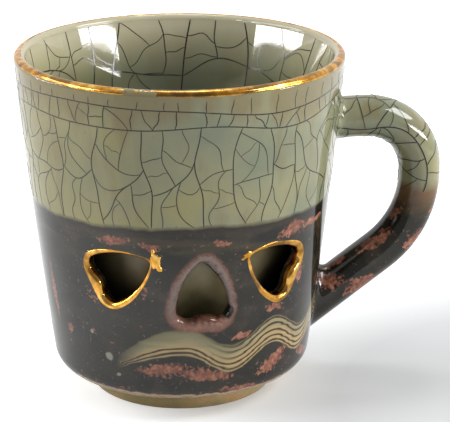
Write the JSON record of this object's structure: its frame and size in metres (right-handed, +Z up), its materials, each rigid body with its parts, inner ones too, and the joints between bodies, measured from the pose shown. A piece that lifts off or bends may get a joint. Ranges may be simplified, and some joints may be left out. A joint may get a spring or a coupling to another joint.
{
  "type": "mug",
  "caption": "Double-walled stoneware mug with an inner cup, heart-shaped windows through the outer wall, a round side handle and a foot ring.",
  "frame": {"origin": "middle of the foot ring's resting face, on the mug's axis", "axes": "+Z up along the mug's axis, +X towards the handle, -Y towards the middle heart-shaped window"},
  "size_m": [0.1127, 0.085, 0.09],
  "materials": {
    "crackle_glaze": "gloss crackle glaze, grey-green above and dark iron brown below",
    "gold_lustre": "fired gold film on the rim and round two windows",
    "bare_clay": "unglazed foot ring"
  },
  "bodies": {
    "root": {"mug": "crackle_glaze"}
  },
  "joints": []
}
